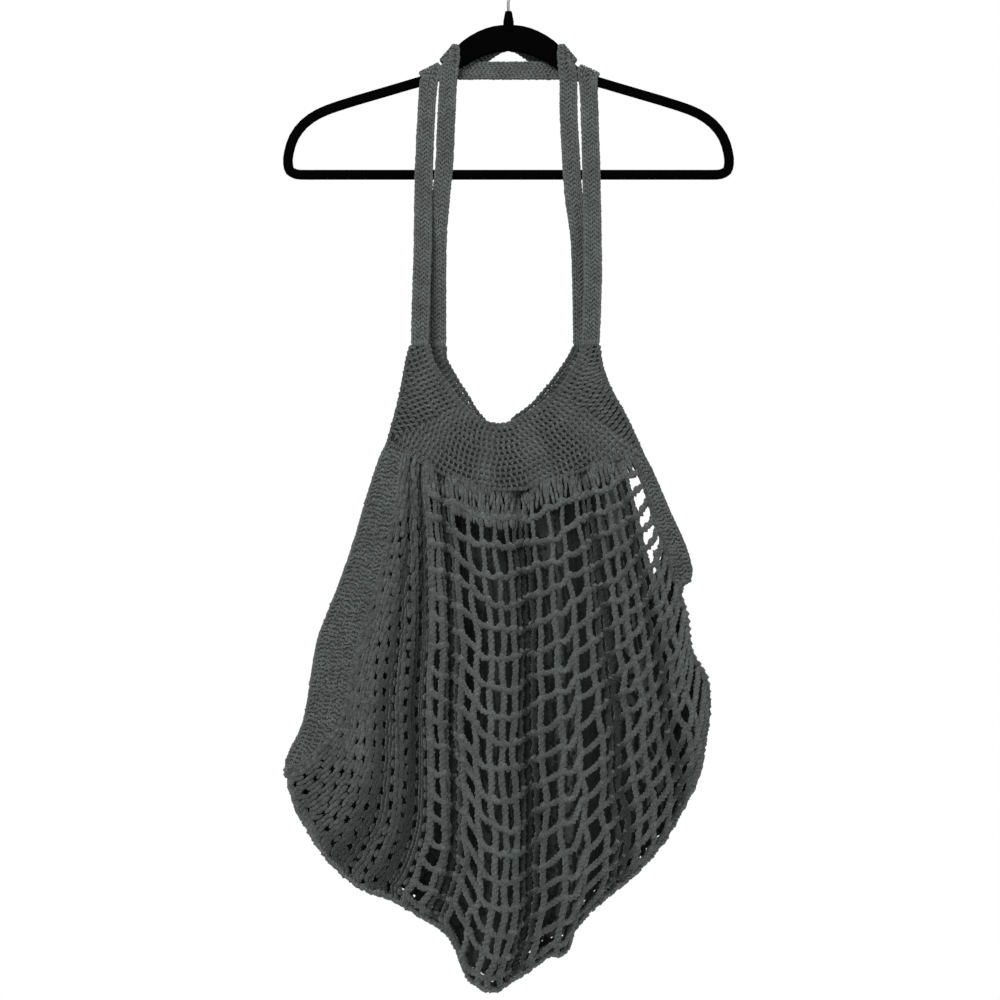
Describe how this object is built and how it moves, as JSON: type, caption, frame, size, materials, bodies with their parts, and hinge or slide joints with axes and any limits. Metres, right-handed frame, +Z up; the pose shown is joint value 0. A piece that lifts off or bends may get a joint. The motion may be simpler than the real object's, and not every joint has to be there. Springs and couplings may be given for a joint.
{
  "type": "string shopping bag on a hanger",
  "caption": "Crocheted open net shopping bag with long strap handles, solid yoke and side slits, hung from a flat flocked coat hanger.",
  "frame": {"origin": "the inner top of the hanger's hook, where it rests on a rail", "axes": "+Z up, the bag's front towards -Y, +X to the right as seen from the front"},
  "size_m": [0.4459, 0.0817, 1.0291],
  "materials": {
    "cotton_yarn": "crocheted grey cotton cord, matt",
    "band_yarn": "close single crochet in the same grey cotton",
    "black_flock": "short black flock, matt",
    "hook_wire": "bright plated wire"
  },
  "bodies": {
    "root": {"hanger_frame": "black_flock", "hanger_hook": "hook_wire", "front_handle": "cotton_yarn", "back_handle": "cotton_yarn", "front_yoke": "cotton_yarn", "back_yoke": "cotton_yarn", "left_side_band": "band_yarn", "right_side_band": "band_yarn", "net_pouch": "cotton_yarn"}
  },
  "joints": []
}
